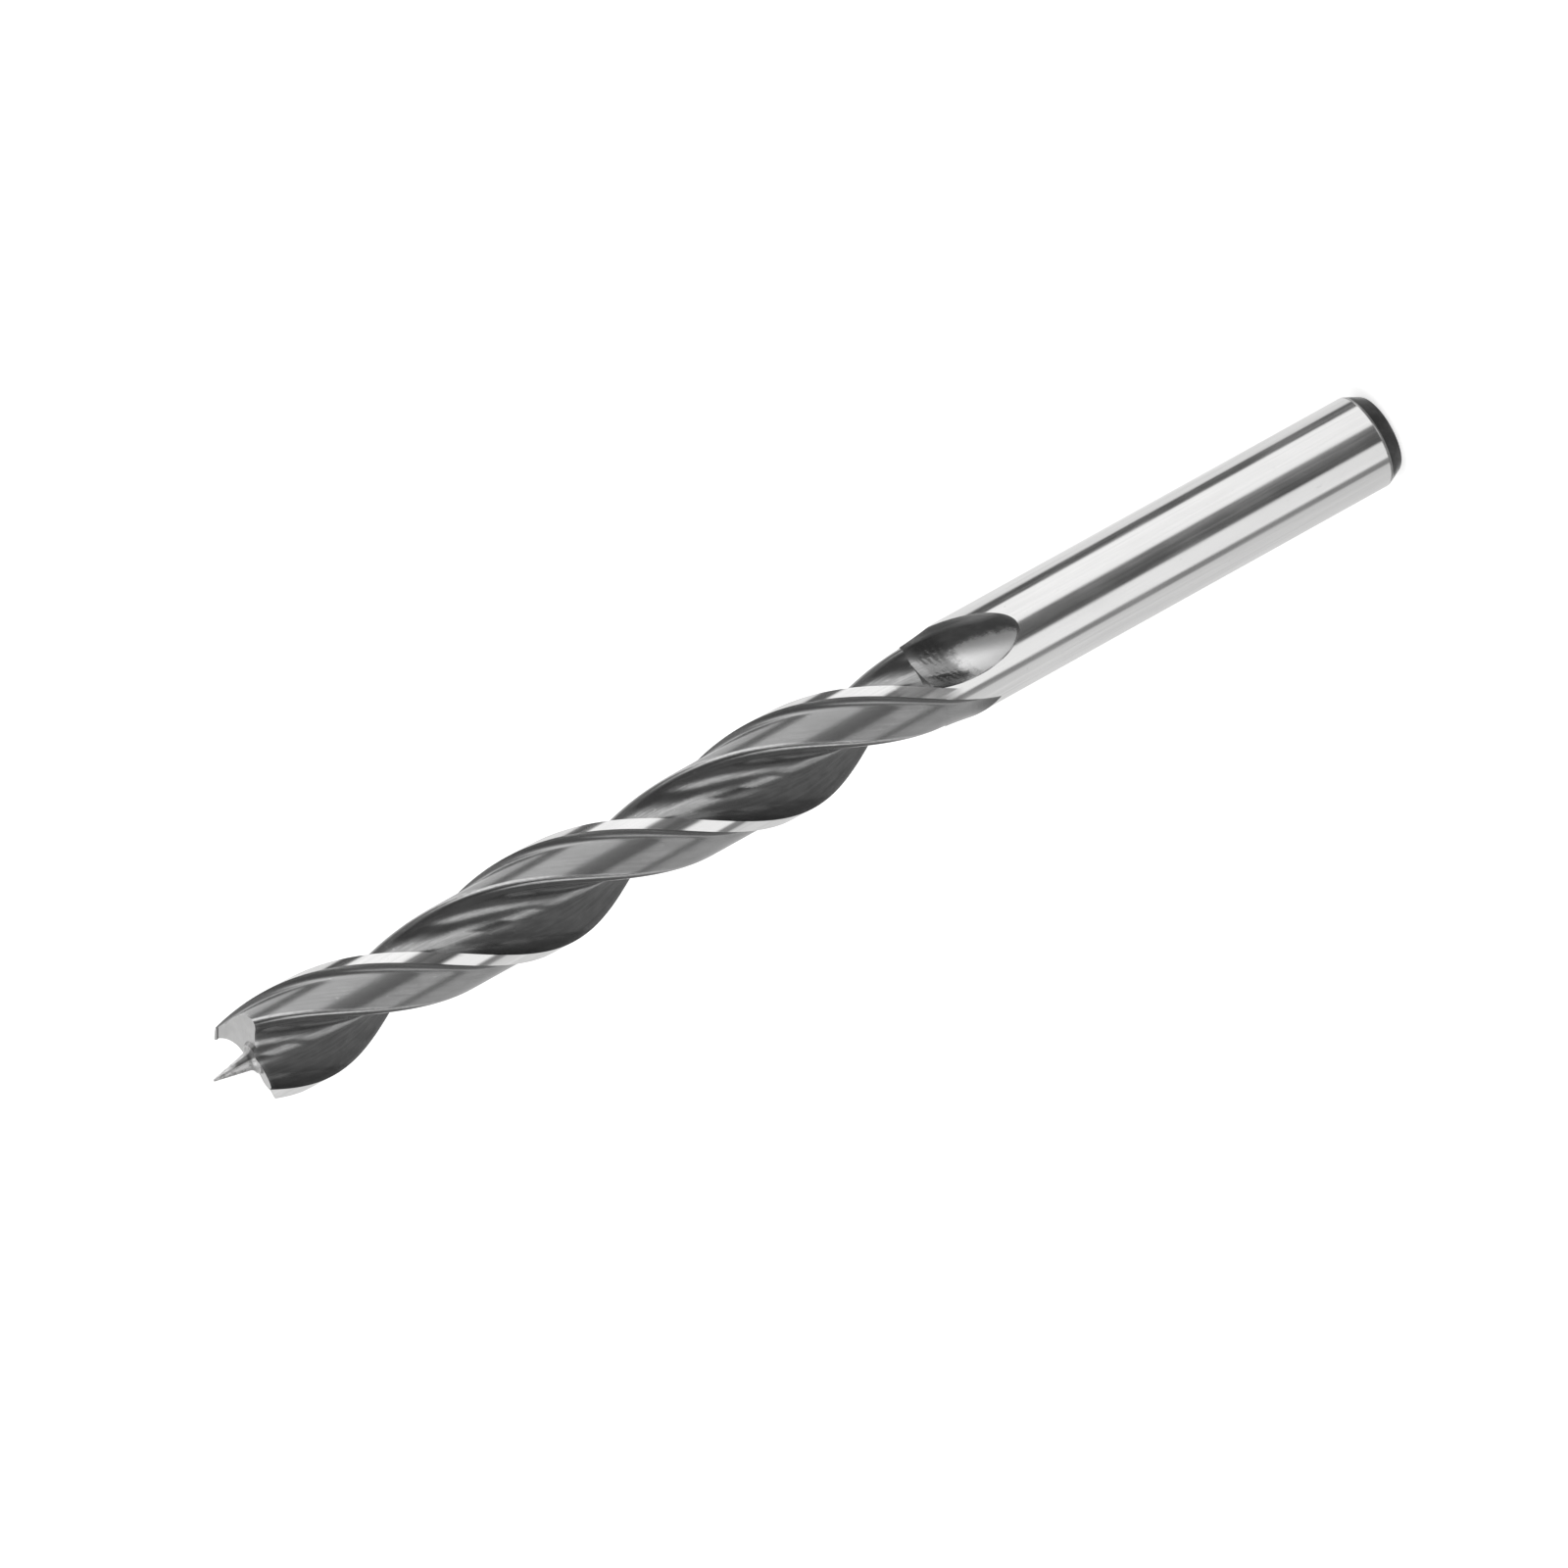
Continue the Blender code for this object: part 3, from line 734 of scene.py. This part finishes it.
def dark_steel(finish, stop):
    """Oxide-dark steel with grinding marks along the helix and chatter at the wheels' stop.

    The stop is the flutes' depth in millimetres, the unit of the stored places.
    """
    look = Look("dark_steel")
    place = look.unwound()
    across = look.add("ShaderNodeSeparateXYZ", {0: place}).outputs
    depth = across["Z"]
    flat = look.add("ShaderNodeCombineXYZ", {"X": across["X"], "Y": across["Y"]}).outputs[0]
    out = look.add("ShaderNodeVectorMath", {0: flat}, operation="LENGTH").outputs["Value"]
    turn = look.behind_edge(across)
    land = look.math("MULTIPLY", look.spread(out, 3.9, 4.2),
                     look.spread(turn, radians(101.0), radians(104.0)))
    land = look.math("MULTIPLY", land, look.spread(turn, radians(172.0), radians(169.0)))
    inside = look.math("SUBTRACT", 1.0, land)
    marks = look.noise((7.0, 7.0, 0.14), 5.0, 0.6, place)
    fine = look.noise((18.0, 18.0, 3.0), 3.0, source=place)
    grains = look.noise((4.6, 4.6, 3.2), 3.0, 0.6, place)
    blotch = look.noise((1.1, 1.1, 0.5), 5.0, 0.65, place)
    spots = look.noise((2.6, 2.6, 1.8), 3.0, 0.6, place)
    tone = look.math("ADD", look.math("MULTIPLY", blotch, 0.5), look.math("MULTIPLY", marks, 0.5))
    base = look.mix(look.spread(tone, 0.40, 0.60), shade_of(finish.dark, 0.84),
                    shade_of(finish.dark, 1.10))
    base = look.mix(look.math("MULTIPLY", land, 0.8), base, shade_of(finish.dark, 1.18))
    base = look.mix(look.spread(spots, 0.66, 0.72, 0.0, 0.45), base, shade_of(finish.dark, 1.7))

    # Run-outs: painted shade where they start, and a painted highlight, on rougher steel, where
    # the wheels lift out
    sweep = look.noise((1.4, 1.4, 1.4), 4.0, 0.7, place)
    edge = look.math("MULTIPLY_ADD", sweep, 2.4, look.math("SUBTRACT", depth, 1.2))
    # Painted highlight in the run-outs, where the wheels lift out
    scoop_highlight = look.math("MULTIPLY", inside, look.spread(edge, stop + 2.9, stop + 4.7))
    edge = look.math("MULTIPLY_ADD", out, -0.35, look.math("ADD", across["X"], 0.2))
    edge = look.math("MULTIPLY_ADD", sweep, 1.2, edge)
    scoop_highlight = look.math("MULTIPLY", scoop_highlight, look.spread(edge, -0.5, 0.4))
    scoop_highlight = look.math("MULTIPLY", scoop_highlight, look.spread(out, 4.72, 4.56))
    # Painted shade over the start of the run-outs
    runout_shade = look.math("MULTIPLY", look.spread(depth, stop + 0.4, stop + 1.2),
                      look.spread(depth, stop + 4.0, stop + 2.6))
    base = look.mix(look.math("MULTIPLY", look.math("MULTIPLY", runout_shade, inside), 0.8), base,
                    shade_of(finish.dark, 0.5))
    # Painted highlight: the run-outs brighter where the wheels lift out
    base = look.mix(scoop_highlight, base, shade_of(finish.dark, 2.5))

    # Wear along the edges with a painted highlight on them, and a painted highlight along the heel
    # Painted highlight along the heel's rounding
    beside = look.math("ABSOLUTE", look.math("SUBTRACT", turn, radians(103.5)))
    heel = look.math("MULTIPLY", look.spread(beside, radians(5.0), radians(2.0)),
                     look.spread(out, 3.8, 4.05))
    worn_and_highlit = look.math("MULTIPLY", look.math("MAXIMUM", look.wear_and_highlight(), heel),
                     look.spread(fine, 0.35, 0.6, 0.35, 1.0))
    base = look.mix(look.math("MULTIPLY", worn_and_highlit, 0.7), base, shade_of(finish.dark, 2.1))
    look.set("Base Color", base)
    look.set("Metallic", 0.92)
    rough = finish.dark_roughness
    grain = look.spread(tone, 0.35, 0.65, rough * 1.2, rough * 0.85)
    grain = look.math("MULTIPLY_ADD", land, rough * 0.75, grain)
    look.set("Roughness", look.math("MULTIPLY_ADD", scoop_highlight, rough * 1.6, grain))

    # Chatter where the wheels stop, then pits in the flutes, then the grinding marks
    zone = look.math("MULTIPLY", look.spread(depth, stop + 0.6, stop + 1.2),
                     look.spread(depth, stop + 3.6, stop + 2.2))
    patch = look.noise((1.6, 1.6, 0.8), 2.0, source=place)
    zone = look.math("MULTIPLY", look.math("MULTIPLY", zone, inside),
                     look.spread(patch, 0.42, 0.6))
    wave = look.add("ShaderNodeTexWave", {"Vector": place, "Scale": 0.55, "Distortion": 4.0,
                                          "Detail": 2.0, "Detail Scale": 1.2},
                    bands_direction="Z").outputs["Fac"]
    chatter = look.bump(look.math("MULTIPLY", wave, zone), 0.022 * MM, 0.8)
    pits = look.bump(look.math("MULTIPLY", grains, inside), 1.5 * finish.grind_height, 0.7,
                     chatter)
    look.set("Normal", look.bump(look.math("ADD", marks, look.math("MULTIPLY", fine, 0.5)),
                                 finish.grind_height, 0.8, pits))
    return look.material


def flank_steel(finish):
    """Flanks fresh from the wheel: pale, with parallel marks across them."""
    look = Look("ground_flank_steel")
    marks = look.noise((7000.0, 260.0, 7000.0), 2.0)
    cloud = look.noise((900.0, 900.0, 900.0), 2.0)
    base = look.mix(look.spread(cloud, 0.3, 0.7), shade_of(finish.flank, 0.92),
                    shade_of(finish.flank, 1.06))
    # Edge wear with a painted highlight along the flanks' corners
    base = look.mix(look.math("MULTIPLY", look.wear_and_highlight(), 0.35), base, shade_of(finish.flank, 1.3))
    look.set("Base Color", base)
    look.set("Metallic", 1.0)
    look.set("Roughness", look.spread(marks, 0.3, 0.7, 0.36, 0.48))
    look.set("Normal", look.bump(marks, finish.grind_height, 0.5))
    return look.material


def brad_steel(finish):
    """The brad's cone: turned marks round it, specks, and painted shade in bands up it beside the
    flutes and at its root.
    """
    look = Look("ground_brad_steel")
    rings = look.noise((500.0, 500.0, 4200.0), 3.0)
    specks = look.noise((2600.0, 2600.0, 1900.0), 4.0, 0.7)
    across = look.add("ShaderNodeSeparateXYZ", {0: look.unwound()}).outputs
    depth = across["Z"]
    # Painted shade: a dark band up each side of the cone, beside the flutes
    beside = look.math("SUBTRACT", look.behind_edge(across), radians(67.0))
    dark = look.math("MULTIPLY", look.spread(look.math("ABSOLUTE", beside), radians(25.0),
                                             radians(14.0)), look.spread(depth, 1.8, 2.7))
    base = look.mix(look.spread(specks, 0.50, 0.62), shade_of(finish.brad, 1.05),
                    shade_of(finish.brad, 0.55))
    base = look.mix(look.spread(rings, 0.35, 0.65, 0.0, 0.3), base, shade_of(finish.brad, 1.1))
    # Painted shade at the brad's root, in its fillet
    base = look.mix(look.spread(depth, 3.6, 4.1, 0.0, 0.6), base, shade_of(finish.brad, 0.4))
    base = look.mix(look.math("MULTIPLY", dark, 0.9), base, shade_of(finish.dark, 0.5))
    look.set("Base Color", base)
    look.set("Metallic", 0.9)
    look.set("Roughness", look.spread(specks, 0.3, 0.7, 0.34, 0.46))
    look.set("Normal", look.bump(look.math("ADD", rings, specks), finish.grind_height, 0.5))
    return look.material


def end_steel(finish):
    """The chamfer and the end face: dark, turned steel."""
    look = Look("turned_end_steel")
    rings = look.noise((300.0, 300.0, 6500.0), 3.0)
    cloud = look.noise((700.0, 700.0, 700.0), 3.0)
    base = look.mix(look.spread(cloud, 0.35, 0.65), shade_of(finish.end, 0.85),
                    shade_of(finish.end, 1.3))
    # Edge wear with a painted highlight along the chamfer's corners
    base = look.mix(look.math("MULTIPLY", look.wear_and_highlight(), 0.5), base, shade_of(finish.end, 3.2))
    look.set("Base Color", base)
    look.set("Metallic", 1.0)
    look.set("Roughness", look.spread(rings, 0.3, 0.7, 0.26, 0.4))
    look.set("Normal", look.bump(rings, finish.grind_height, 0.5))
    return look.material


class DRILLBIT_OT_make_bit(Operator):
    """Grind the whole bit from its sizes and give it its steels"""

    bl_idname = "drillbit.make_bit"
    bl_label = "Make Bit"

    def execute(self, context):
        shape = Shape(context.scene.drill_bit_sizes)
        finish = context.scene.drill_bit_finish
        materials = [bright_steel(finish), dark_steel(finish, shape.size.flute_length / MM),
                     flank_steel(finish), brad_steel(finish), end_steel(finish)]
        tree = helical_sweep_tree()
        bit = helical_body(shape, tree, materials)
        bit.name = "bit_steel"
        envelope = turned("margin_envelope", shape.margin_envelope(), LATHE_STEPS, materials,
                          BRIGHT)
        blank = shank(shape, materials)
        combine(bit, envelope, "INTERSECT")
        combine(bit, blank, "UNION")
        cutters = [clearance_wheel(shape, tree, side, materials) for side in (0, 1)]
        cutters += [flute_wheel(shape, side, materials) for side in (0, 1)]
        point, inputs = point_grinding(shape, materials)
        for cutter in cutters + [point]:
            combine(bit, cutter, "DIFFERENCE")
        mesh = applied(bit)
        for item in [envelope, blank, point] + cutters + inputs:
            bpy.data.objects.remove(item, do_unlink=True)
        if max(vertex.co.z for vertex in mesh.vertices) < 0.99 * shape.top:
            raise RuntimeError("the bit's point was lost when it was ground")
        mesh.shade_smooth()
        mesh.set_sharp_from_angle(angle=SMOOTH_BELOW)
        part_finishes(mesh)
        mark_surface(mesh, shape)
        mesh.name = "bit_steel"
        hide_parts(NODE)
        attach(bit, BODY)
        return {"FINISHED"}


WHITE = (1.0, 1.0, 1.0, 1.0)
# What the camera's view of the floor lacks to white, apart from the shadow
FLOOR_GLOW = 0.62


def floor_look(stage):
    """A pale floor that the camera sees as near white, with the bit's soft shadow kept."""
    look = Look("studio_floor")
    grain = look.noise((30.0, 30.0, 30.0), 2.0)
    base = look.mix(look.spread(grain, 0.3, 0.7), shade_of(stage.floor, 0.99),
                    shade_of(stage.floor, 1.01))
    look.set("Base Color", base)
    look.set("Roughness", 0.9)
    path = look.add("ShaderNodeLightPath").outputs
    seen = look.math("MAXIMUM", path["Is Camera Ray"], path["Is Glossy Ray"])
    seen = look.math("MAXIMUM", seen, path["Is Transmission Ray"])
    look.set("Emission Color", WHITE)
    look.set("Emission Strength", look.math("MULTIPLY", seen, FLOOR_GLOW))
    return look.material


# Brightness of the studio's panels by azimuth from the camera, in degrees. The low ring is
# what the shank shows, the others are seen in the flutes, on the brad and in the run-outs.
FLOOR_RING = ((-180, 0.30), (-100, 0.25), (5, 0.20), (30, 0.15), (70, 0.15), (130, 0.30),
              (180, 0.30))
UNDER_RING = ((-180, 0.30), (-100, 0.22), (-25, 0.20), (5, 0.60), (15, 0.55), (35, 0.20),
              (70, 0.20), (95, 0.70), (115, 0.35), (180, 0.30))
EDGE_RING = ((-180, 0.30), (-100, 0.20), (-20, 0.15), (0, 0.25), (22, 0.30), (30, 0.80),
             (85, 0.80), (110, 0.30), (180, 0.30))
LOW_RING = ((-180, 0.58), (-157, 0.58), (-151, 0.76), (-77, 0.78), (-73, 0.27), (-62, 0.27),
            (-58, 1.13), (-22, 1.13), (-17, 0.09), (-3, 0.09), (22, 0.17), (27, 1.14),
            (84, 1.14), (88, 0.10), (109, 0.10), (113, 0.88), (180, 0.88))
MIDDLE_RING = ((-180, 0.40), (-130, 0.20), (-110, 0.20), (-82, 0.35), (-50, 0.15), (-35, 0.15),
               (-24, 0.20), (-14, 0.50), (10, 1.00), (40, 1.25), (75, 1.25), (110, 0.90),
               (125, 1.10), (180, 0.95))
RISING_RING = ((-180, 0.35), (-150, 0.35), (-125, 0.20), (-110, 0.20), (-90, 0.25), (-60, 0.20),
               (-45, 0.15), (-10, 0.12), (8, 0.50), (25, 1.15), (55, 1.55), (78, 1.55),
               (96, 1.00), (120, 1.10), (180, 0.95))
LEVEL_RING = ((-180, 0.35), (-120, 0.20), (20, 0.12), (32, 0.25), (46, 0.60), (57, 1.25),
              (72, 1.35), (79, 0.35), (92, 0.30), (106, 0.50), (116, 1.00), (180, 0.90))
HIGH_RING = ((-180, 0.60), (-110, 0.45), (-85, 0.15), (34, 0.11), (46, 0.27), (66, 0.25),
             (84, 0.20), (104, 0.30), (114, 0.80), (180, 0.70))
UPPER_RING = ((-180, 0.70), (-120, 0.60), (-60, 0.12), (50, 0.10), (110, 0.75), (180, 0.70))
# The rings over the floor's, each with the elevations between which it takes over
RINGS = ((-34, -31, UNDER_RING), (-27, -25, EDGE_RING), (-24.5, -22, LOW_RING),
         (-16, -13, MIDDLE_RING), (-10, -8, RISING_RING), (-6, -2, LEVEL_RING),
         (11, 15, HIGH_RING), (26, 34, UPPER_RING))
PANEL_PEAK = 1.6
# The soft lamp's place, with the camera on the +X side
LAMP_PLACE = Vector((0.5, -1.1, 1.9))
OVERHEAD = 0.80


def studio_world(turn):
    """Rings of pale panels with dark gaps round the bit, and a soft light overhead."""
    world = bpy.data.worlds.new("studio")
    bpy.context.scene.world = world
    world.use_nodes = True
    back = world.node_tree.nodes["Background"]
    build = Nodes(world.node_tree)
    math = build.math
    spread = build.spread

    place = build.add("ShaderNodeTexCoord").outputs["Generated"]
    spin = build.add("ShaderNodeVectorRotate", {"Vector": place, "Angle": -turn},
                     rotation_type="Z_AXIS")
    toward = build.add("ShaderNodeSeparateXYZ", {0: spin.outputs[0]}).outputs
    height = toward["Z"]
    azimuth = math("ARCTAN2", toward["Y"], toward["X"])
    share = math("MULTIPLY_ADD", azimuth, 0.5 / pi, 0.5)

    def ring(panels):
        """Brightness along one ring."""
        ramp = build.add("ShaderNodeValToRGB", {0: share})
        stops = ramp.color_ramp.elements
        while len(stops) < len(panels):
            stops.new(0.5)
        for stop, (where, bright) in zip(stops, panels):
            stop.position = (where + 180) / 360
            stop.color = (*(3 * [bright / PANEL_PEAK]), 1.0)
        return math("MULTIPLY", ramp.outputs["Color"], PANEL_PEAK)

    def above(low, high, under, over):
        """One value under an elevation and another over it, in degrees, with a soft step."""
        step = spread(height, sin(radians(low)), sin(radians(high)))
        return math("MULTIPLY_ADD", math("SUBTRACT", over, under), step, under)

    light = ring(FLOOR_RING)
    for low, high, panels in RINGS:
        light = above(low, high, light, ring(panels))
    light = above(44, 60, light, OVERHEAD)

    # A tube light to the left of the camera, which dips away from it
    droop = math("MULTIPLY_ADD", azimuth, -0.0917, 0.135)
    droop = math("MULTIPLY_ADD", droop, azimuth, radians(13.8))
    off = math("ABSOLUTE", math("SUBTRACT", math("ARCSINE", height), droop))
    tube = math("MULTIPLY", spread(off, radians(7.0), radians(3.0)),
                spread(azimuth, radians(-112.0), radians(-48.0)))
    tube = math("MULTIPLY", tube, spread(azimuth, radians(6.0), radians(-16.0)))
    light = math("MULTIPLY_ADD", tube, 1.05, light)

    # The camera sees white all round, and the metal sees it straight behind the bit
    path = build.add("ShaderNodeLightPath").outputs
    behind = spread(math("ABSOLUTE", azimuth), radians(150.0), radians(165.0))
    metal = math("MAXIMUM", path["Is Glossy Ray"], path["Is Transmission Ray"])
    white = math("MAXIMUM", path["Is Camera Ray"], math("MULTIPLY", metal, behind))
    lacking = math("SUBTRACT", 1.0, light)
    total = math("MULTIPLY_ADD", lacking, white, light)
    world.node_tree.links.new(total, back.inputs["Strength"])
    back.inputs["Color"].default_value = WHITE


def place_camera(stage):
    """The camera at the photograph's viewing angle, which sees the bit lie diagonally."""
    turn = Matrix.Rotation(stage.view_turn, 3, "Z")
    aim = turn @ Vector((0.0, -stage.view_side, 0.0)) + Vector((0.0, 0.0, stage.view_level))
    away = turn @ Vector((cos(stage.view_height), 0.0, sin(stage.view_height)))
    camera = bpy.data.objects.new("photo_camera", bpy.data.cameras.new("photo_camera"))
    bpy.context.scene.collection.objects.link(camera)
    rotation = away.to_track_quat("Z", "Y") @ Quaternion((0.0, 0.0, 1.0), stage.view_roll)
    place = Matrix.Translation(aim + away * stage.view_distance)
    camera.matrix_world = place @ rotation.to_matrix().to_4x4()
    camera.data.lens = stage.lens
    camera.data.sensor_width = 36.0
    bpy.context.scene.camera = camera


class DRILLBIT_OT_set_stage(Operator):
    """Lay the floor and set the light and the camera"""

    bl_idname = "drillbit.set_stage"
    bl_label = "Set Stage"

    def execute(self, context):
        stage = context.scene.drill_bit_stage
        half = stage.floor_size / 2
        mesh = bpy.data.meshes.new("studio_floor")
        mesh.from_pydata([(-half, -half, 0.0), (half, -half, 0.0), (half, half, 0.0),
                          (-half, half, 0.0)], [], [(0, 1, 2, 3)])
        floor = new_object("studio_floor", mesh, [floor_look(stage)])
        floor.visible_glossy = False
        studio_world(stage.view_turn)
        lamp = bpy.data.lights.new("soft_lamp", "AREA")
        lamp.shape = "SQUARE"
        lamp.size = stage.lamp_size
        lamp.energy = stage.lamp_energy
        over = bpy.data.objects.new("soft_lamp", lamp)
        context.scene.collection.objects.link(over)
        place = Matrix.Rotation(stage.view_turn, 3, "Z") @ LAMP_PLACE
        over.location = place
        over.rotation_euler = place.to_track_quat("Z", "Y").to_euler()
        place_camera(stage)
        context.scene.view_settings.view_transform = "Standard"
        return {"FINISHED"}


class DRILLBIT_PT_panel(Panel):
    """Sizes and finish of the bit, and the two operators"""

    bl_idname = "DRILLBIT_PT_panel"
    bl_label = "Drill Bit"
    bl_space_type = "VIEW_3D"
    bl_region_type = "UI"
    bl_category = "Drill Bit"

    def draw(self, context):
        layout = self.layout
        for operator in (DRILLBIT_OT_make_bit, DRILLBIT_OT_set_stage):
            layout.operator(operator.bl_idname)
        scene = context.scene
        for group in (scene.drill_bit_sizes, scene.drill_bit_finish, scene.drill_bit_stage):
            box = layout.box()
            for name in group.__annotations__:
                box.prop(group, name)


CLASSES = (BitSizes, BitFinish, StageLook, DRILLBIT_OT_make_bit, DRILLBIT_OT_set_stage,
           DRILLBIT_PT_panel)


def register():
    for item in CLASSES:
        bpy.utils.register_class(item)
    bpy.types.Scene.drill_bit_sizes = PointerProperty(type=BitSizes)
    bpy.types.Scene.drill_bit_finish = PointerProperty(type=BitFinish)
    bpy.types.Scene.drill_bit_stage = PointerProperty(type=StageLook)


def unregister():
    del bpy.types.Scene.drill_bit_stage
    del bpy.types.Scene.drill_bit_finish
    del bpy.types.Scene.drill_bit_sizes
    for item in reversed(CLASSES):
        bpy.utils.unregister_class(item)


def main():
    register()
    bpy.ops.drillbit.make_bit()
    bpy.ops.drillbit.set_stage()


if __name__ == "__main__":
    main()
